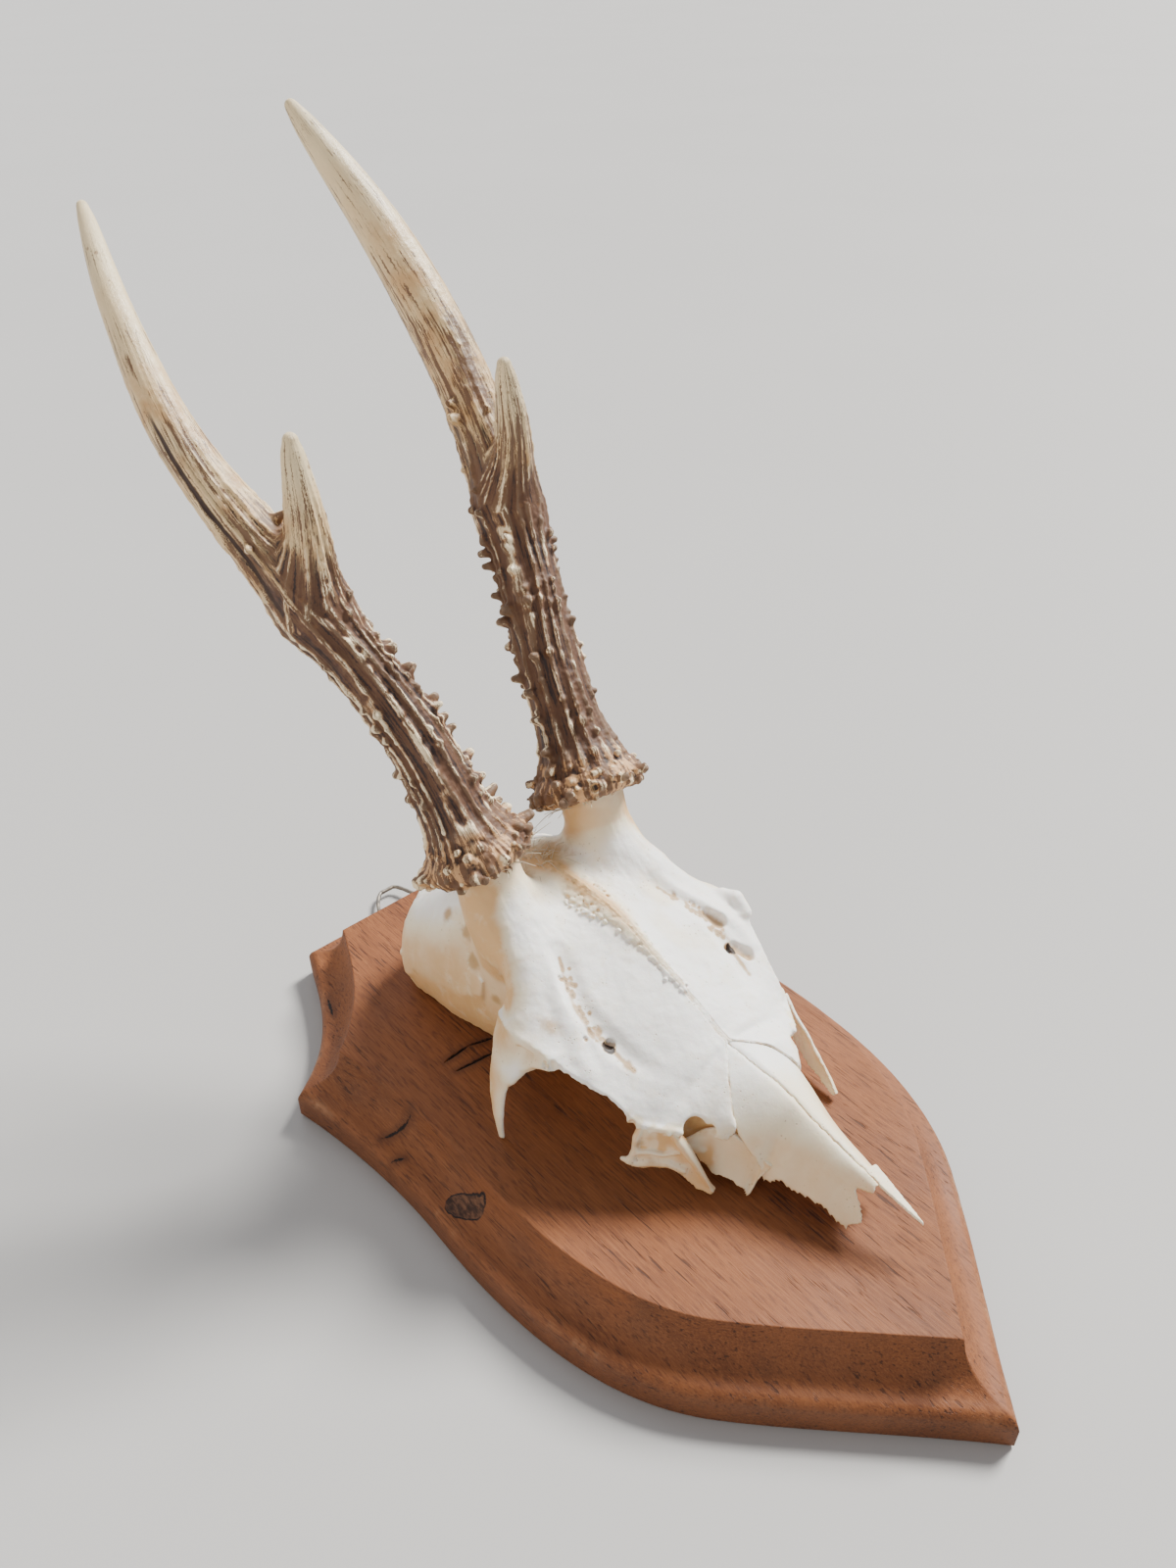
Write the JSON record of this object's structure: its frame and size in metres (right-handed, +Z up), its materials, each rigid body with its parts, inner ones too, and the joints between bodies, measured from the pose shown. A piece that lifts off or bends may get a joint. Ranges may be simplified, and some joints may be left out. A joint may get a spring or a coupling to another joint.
{
  "type": "roe deer skull mount",
  "caption": "Roe deer skull cap with forked, pearled antlers, broken nose bones and eye sockets, mounted on a moulded wooden shield plaque with a wire hanger.",
  "frame": {"origin": "middle of the plaque's flat back face, which lies on the table", "axes": "+Z up, out of the plaque's face; +Y from the plaque's point to its straight top edge; the nose points to -Y and the animal's left side is at +X"},
  "size_m": [0.1474, 0.2932, 0.2515],
  "materials": {
    "plaque_wood": "satin, open grain",
    "hanger_steel": "dull, aged",
    "bone": "matte bone, bleached white",
    "aged_bone": "matte bone, cream to tan",
    "antler_brown": "rough antler, furrowed and pearled",
    "antler_ivory": "worn antler, smooth ivory with brown streaks"
  },
  "bodies": {
    "root": {"shield_board": "plaque_wood", "hanger_wire": "hanger_steel", "frontal_left": "bone", "frontal_right": "bone", "postorbital_process_left": "bone", "postorbital_process_right": "bone", "nasal_left": "bone", "nasal_right": "bone", "lacrimal_left": "bone", "lacrimal_right": "bone", "maxilla_left": "aged_bone", "maxilla_right": "aged_bone", "braincase": "aged_bone", "antler_left_burr": "antler_brown", "antler_left_beam": "antler_brown", "antler_left_main_tine": "antler_ivory", "antler_left_front_tine": "antler_ivory", "antler_right_burr": "antler_brown", "antler_right_beam": "antler_brown", "antler_right_main_tine": "antler_ivory", "antler_right_front_tine": "antler_ivory"}
  },
  "joints": []
}
